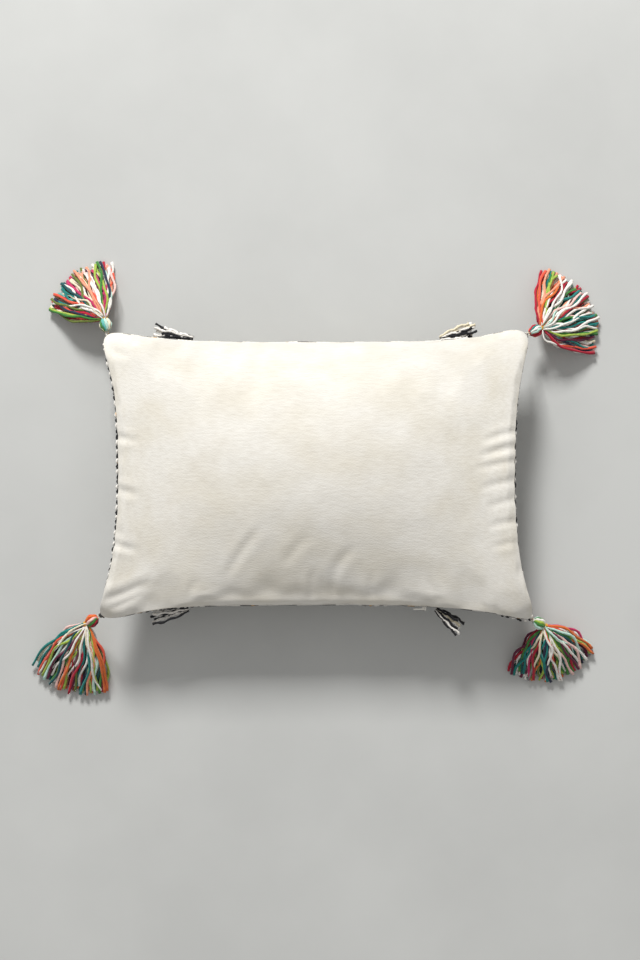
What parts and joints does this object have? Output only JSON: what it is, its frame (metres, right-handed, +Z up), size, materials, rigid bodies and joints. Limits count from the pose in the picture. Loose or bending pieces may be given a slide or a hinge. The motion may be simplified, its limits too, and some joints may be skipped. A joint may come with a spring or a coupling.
{
  "type": "lumbar throw pillow",
  "caption": "Oblong stuffed throw pillow in a zipped cover with a plain back, a woven front, fringe at the long seams and a yarn tassel at each corner.",
  "frame": {"origin": "on the floor, at the middle of the flat patch of the woven front on which the pillow lies", "axes": "+X along the long side, +Y across, towards the side without the zip, +Z up, out of the plain back"},
  "size_m": [0.6762, 0.5143, 0.1202],
  "materials": {
    "cotton_back": "plain-woven cotton, brushed",
    "woven_front": "hand-woven black and white yarn",
    "ticking": "plain cotton ticking",
    "filling": "loose polyester fibre",
    "label": "blank woven tape",
    "zip_tape": "knitted zip tape",
    "zip_coil": "moulded nylon coil",
    "zip_metal": "cream lacquer",
    "fringe_yarn": "plied black, white and cream cotton yarn",
    "tassel_yarn": "plied cotton yarn in many colours",
    "binding_yarn": "mustard yarn, wrapped tight"
  },
  "bodies": {
    "cover": {"cover_back_panel": "cotton_back", "cover_front_panel": "woven_front", "insert_casing_back": "ticking", "insert_casing_front": "ticking", "insert_filling": "filling", "care_label": "label", "zipper_tape_back": "zip_tape", "zipper_tape_front": "zip_tape", "zipper_coil_back": "zip_coil", "zipper_coil_front": "zip_coil", "zipper_bottom_stop": "zip_metal", "zipper_top_stop_back": "zip_metal", "zipper_top_stop_front": "zip_metal", "fringe_top_left": "fringe_yarn", "fringe_top_right": "fringe_yarn", "fringe_bottom_left": "fringe_yarn", "fringe_bottom_right": "fringe_yarn"},
    "zip_slider": {"zipper_slider": "zip_metal"},
    "zip_pull": {"zipper_pull_tab": "zip_metal"},
    "loop_top_left": {"tassel_loop_top_left": "tassel_yarn"},
    "tassel_top_left": {"tassel_head_top_left": "tassel_yarn", "tassel_binding_top_left": "binding_yarn", "tassel_skirt_top_left": "tassel_yarn"},
    "loop_top_right": {"tassel_loop_top_right": "tassel_yarn"},
    "tassel_top_right": {"tassel_head_top_right": "tassel_yarn", "tassel_binding_top_right": "binding_yarn", "tassel_skirt_top_right": "tassel_yarn"},
    "loop_bottom_left": {"tassel_loop_bottom_left": "tassel_yarn"},
    "tassel_bottom_left": {"tassel_head_bottom_left": "tassel_yarn", "tassel_binding_bottom_left": "binding_yarn", "tassel_skirt_bottom_left": "tassel_yarn"},
    "loop_bottom_right": {"tassel_loop_bottom_right": "tassel_yarn"},
    "tassel_bottom_right": {"tassel_head_bottom_right": "tassel_yarn", "tassel_binding_bottom_right": "binding_yarn", "tassel_skirt_bottom_right": "tassel_yarn"}
  },
  "joints": [
    {"name": "zip_travel", "type": "slide", "parent": "cover", "child": "zip_slider", "axis": [1, 0, 0], "range_m": [-0.2494, 0]},
    {"name": "pull_tab_hinge", "type": "hinge", "parent": "zip_slider", "child": "zip_pull", "pos_m": [0.1247, -0.15687, 0.066], "axis": [0, 0, 1], "range_deg": [0, 180]},
    {"name": "loop_swivel_top_left", "type": "hinge", "parent": "cover", "child": "loop_top_left", "pos_m": [-0.24549, 0.16388, 0.035], "axis": [0, 0, 1], "range_deg": [-25, 25]},
    {"name": "tassel_swing_top_left", "type": "hinge", "parent": "loop_top_left", "child": "tassel_top_left", "pos_m": [-0.24615, 0.16701, 0.035], "axis": [0.9781, 0.2079, 0], "range_deg": [-55, 75]},
    {"name": "loop_swivel_top_right", "type": "hinge", "parent": "cover", "child": "loop_top_right", "pos_m": [0.24732, 0.16338, 0.035], "axis": [0, 0, 1], "range_deg": [-25, 25]},
    {"name": "tassel_swing_top_right", "type": "hinge", "parent": "loop_top_right", "child": "tassel_top_right", "pos_m": [0.25022, 0.16473, 0.035], "axis": [0.4226, -0.9063, 0], "range_deg": [-55, 75]},
    {"name": "loop_swivel_bottom_left", "type": "hinge", "parent": "cover", "child": "loop_bottom_left", "pos_m": [-0.25426, -0.16698, 0.035], "axis": [0, 0, 1], "range_deg": [-25, 25]},
    {"name": "tassel_swing_bottom_left", "type": "hinge", "parent": "loop_bottom_left", "child": "tassel_bottom_left", "pos_m": [-0.25698, -0.16867, 0.035], "axis": [-0.5299, 0.848, 0], "range_deg": [-55, 75]},
    {"name": "loop_swivel_bottom_right", "type": "hinge", "parent": "cover", "child": "loop_bottom_right", "pos_m": [0.25178, -0.17045, 0.035], "axis": [0, 0, 1], "range_deg": [-25, 25]},
    {"name": "tassel_swing_bottom_right", "type": "hinge", "parent": "loop_bottom_right", "child": "tassel_bottom_right", "pos_m": [0.25455, -0.17205, 0.035], "axis": [-0.5, -0.866, 0], "range_deg": [-55, 75]}
  ]
}
